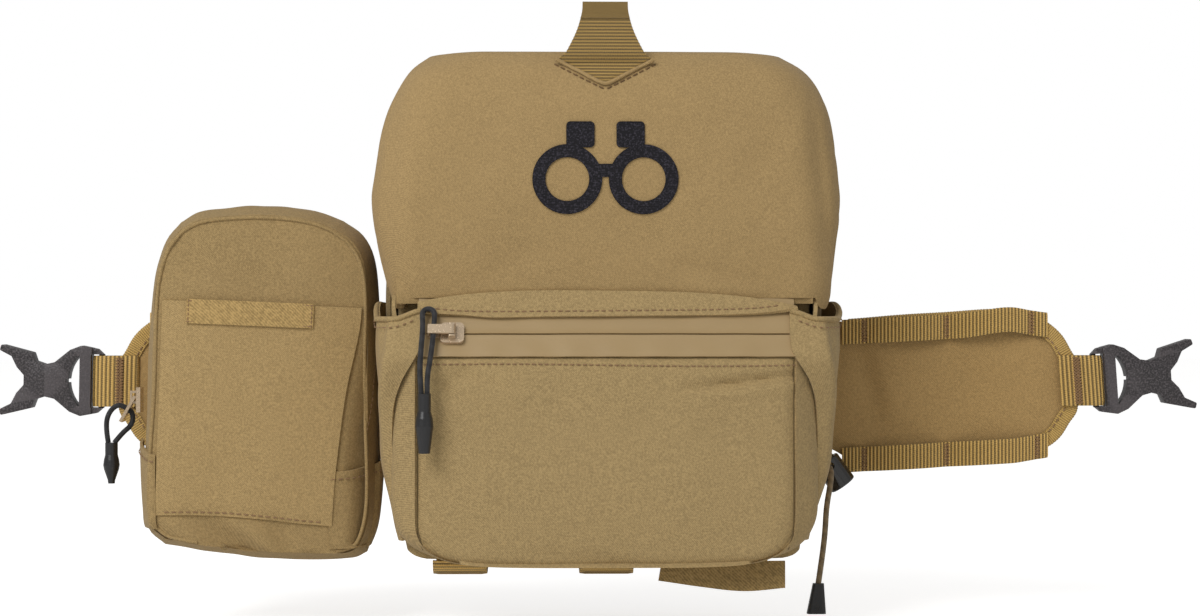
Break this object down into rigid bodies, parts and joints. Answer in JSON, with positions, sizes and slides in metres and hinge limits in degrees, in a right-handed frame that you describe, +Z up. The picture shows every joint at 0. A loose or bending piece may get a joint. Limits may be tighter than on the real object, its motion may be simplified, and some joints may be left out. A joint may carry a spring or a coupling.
{
  "type": "binocular harness pack",
  "caption": "Chest pack for binoculars with a forward-opening hood, zipped front pocket, stretch side pockets, buckled side wings and a zipped pouch on the left wing.",
  "frame": {"origin": "middle of the back pad's outer face, the face that lies on the wearer's chest", "axes": "+Z up as worn, -Y out of the pack's front, +X to the right of someone facing the front"},
  "size_m": [0.5917, 0.1246, 0.2892],
  "materials": {
    "hood_cloth": "stretch-woven twill, matt",
    "pocket_cloth": "stretch-woven twill, matt",
    "wing_cloth": "stretch mesh panel",
    "pouch_cloth": "stretch-woven twill, matt",
    "webbing": "ribbed nylon webbing",
    "binding": "ribbed edge tape",
    "label_cloth": "woven label",
    "dark_lining": "lining cloth",
    "foam": "closed-cell foam",
    "mesh_pad": "spacer mesh over foam",
    "coated_tape": "smooth coated zipper tape",
    "zip_coil": "moulded coil",
    "coated_metal": "glossy coating on die-cast metal",
    "black_cord": "braided cord",
    "black_rubber": "moulded rubber",
    "elastic_cord": "braided elastic cord",
    "buckle_plastic": "fine-textured moulded acetal",
    "lock_plastic": "polished moulding",
    "spring_steel": "drawn wire",
    "ring_metal": "black coated wire",
    "magnet": "nickel plate",
    "stiffener_plastic": "sheet polyethylene",
    "black_thread": "dense embroidery"
  },
  "bodies": {
    "pack": {"back_pad": "mesh_pad", "stiffener_sheet": "stiffener_plastic", "main_shell": "pocket_cloth", "body_liner": "dark_lining", "floor_pad": "foam", "rim_magnets": "magnet", "side_gussets": "dark_lining", "front_pocket_panel": "pocket_cloth", "front_pocket_gusset": "pocket_cloth", "storm_flap": "pocket_cloth", "zipper_tape_lower": "coated_tape", "zipper_tape_upper": "coated_tape", "zipper_coil": "zip_coil", "side_pocket_left": "pocket_cloth", "side_pocket_right": "pocket_cloth", "bottom_webbing_loops": "webbing", "hanging_label": "label_cloth", "strap_anchor_loops": "webbing", "cord_anchor_tab": "webbing", "shock_cord": "elastic_cord", "cord_knot": "elastic_cord", "shock_cord_end": "black_rubber"},
    "lid": {"lid_shell": "hood_cloth", "lid_front_panel": "hood_cloth", "lid_pull_tab": "webbing", "lid_emblem": "black_thread", "lid_foam": "foam", "lid_magnets": "magnet"},
    "front_zip_slider": {"front_slider": "coated_metal"},
    "front_zip_pull": {"front_pull_tab": "coated_metal", "front_pull_cord": "black_cord", "front_pull_grip": "black_rubber"},
    "right_wing": {"wing_panel_right": "wing_cloth", "wing_binding_right": "binding", "molle_strips_right": "webbing", "end_webbing_right": "webbing"},
    "right_buckle": {"buckle_right": "buckle_plastic"},
    "left_wing": {"wing_panel_left": "wing_cloth", "wing_binding_left": "binding", "molle_strips_left": "webbing", "end_webbing_left": "webbing", "pouch_rear_shell": "pouch_cloth", "pouch_zipper_tape": "coated_tape", "pouch_molle_straps": "webbing"},
    "left_buckle": {"buckle_left": "buckle_plastic"},
    "pouch_front": {"pouch_front_shell": "pouch_cloth", "pouch_piping": "binding", "pouch_slip_pocket": "pouch_cloth", "pouch_elastic_pockets": "pouch_cloth", "pouch_label": "label_cloth"},
    "pouch_zip_slider": {"pouch_slider": "coated_metal"},
    "pouch_zip_pull": {"pouch_pull_tab": "coated_metal", "pouch_pull_cord": "black_cord", "pouch_pull_grip": "black_rubber"},
    "cord_lock": {"cord_lock_barrel": "lock_plastic", "cord_lock_spring": "spring_steel"},
    "lock_plunger": {"cord_lock_plunger": "lock_plastic"},
    "left_ring": {"d_ring_left": "ring_metal"},
    "right_ring": {"d_ring_right": "ring_metal"}
  },
  "joints": [
    {"name": "lid_hinge", "type": "hinge", "parent": "pack", "child": "lid", "pos_m": [0, -0.098, 0.007], "axis": [1, 0, 0], "range_deg": [0, 95]},
    {"name": "front_zip_run", "type": "slide", "parent": "pack", "child": "front_zip_slider", "axis": [1, 0, 0], "range_m": [0, 0.142]},
    {"name": "front_pull_hinge", "type": "hinge", "parent": "front_zip_slider", "child": "front_zip_pull", "pos_m": [-0.07, -0.11022, -0.01004], "axis": [0, 0.5, 0.866], "range_deg": [0, 55]},
    {"name": "right_wing_hinge", "type": "hinge", "parent": "pack", "child": "right_wing", "pos_m": [0.0984, -0.009, -0.036], "axis": [0, 0, 1], "range_deg": [0, 70]},
    {"name": "right_buckle_hinge", "type": "hinge", "parent": "right_wing", "child": "right_buckle", "pos_m": [0.246, -0.011, -0.036], "axis": [-0.0698, 0, 0.9976], "range_deg": [-60, 60]},
    {"name": "left_wing_hinge", "type": "hinge", "parent": "pack", "child": "left_wing", "pos_m": [-0.0984, -0.009, -0.036], "axis": [0, 0, -1], "range_deg": [0, 70]},
    {"name": "left_buckle_hinge", "type": "hinge", "parent": "left_wing", "child": "left_buckle", "pos_m": [-0.246, -0.011, -0.036], "axis": [-0.0175, 0, -0.9998], "range_deg": [-60, 60]},
    {"name": "pouch_front_hinge", "type": "hinge", "parent": "left_wing", "child": "pouch_front", "pos_m": [-0.164, -0.0428, -0.118], "axis": [1, 0, 0], "range_deg": [0, 50]},
    {"name": "pouch_zip_run", "type": "slide", "parent": "left_wing", "child": "pouch_zip_slider", "axis": [0, 0, 1], "range_m": [0, 0.05]},
    {"name": "pouch_pull_hinge", "type": "hinge", "parent": "pouch_zip_slider", "child": "pouch_zip_pull", "pos_m": [-0.2247, -0.0421, -0.0428], "axis": [0, 1, 0], "range_deg": [0, 55]},
    {"name": "cord_lock_run", "type": "slide", "parent": "pack", "child": "cord_lock", "axis": [0, 1, 0], "range_m": [0, 0.002]},
    {"name": "lock_button_press", "type": "slide", "parent": "cord_lock", "child": "lock_plunger", "axis": [0.5878, 0, -0.809], "range_m": [0, 0.0035], "stiffness_N_per_m": 900, "deforming": ["cord_lock_spring"]},
    {"name": "left_ring_swing", "type": "hinge", "parent": "pack", "child": "left_ring", "pos_m": [-0.066, -0.0043, 0.104], "axis": [1, 0, 0], "range_deg": [-90, 40]},
    {"name": "right_ring_swing", "type": "hinge", "parent": "pack", "child": "right_ring", "pos_m": [0.066, -0.0043, 0.104], "axis": [1, 0, 0], "range_deg": [-90, 40]}
  ]
}
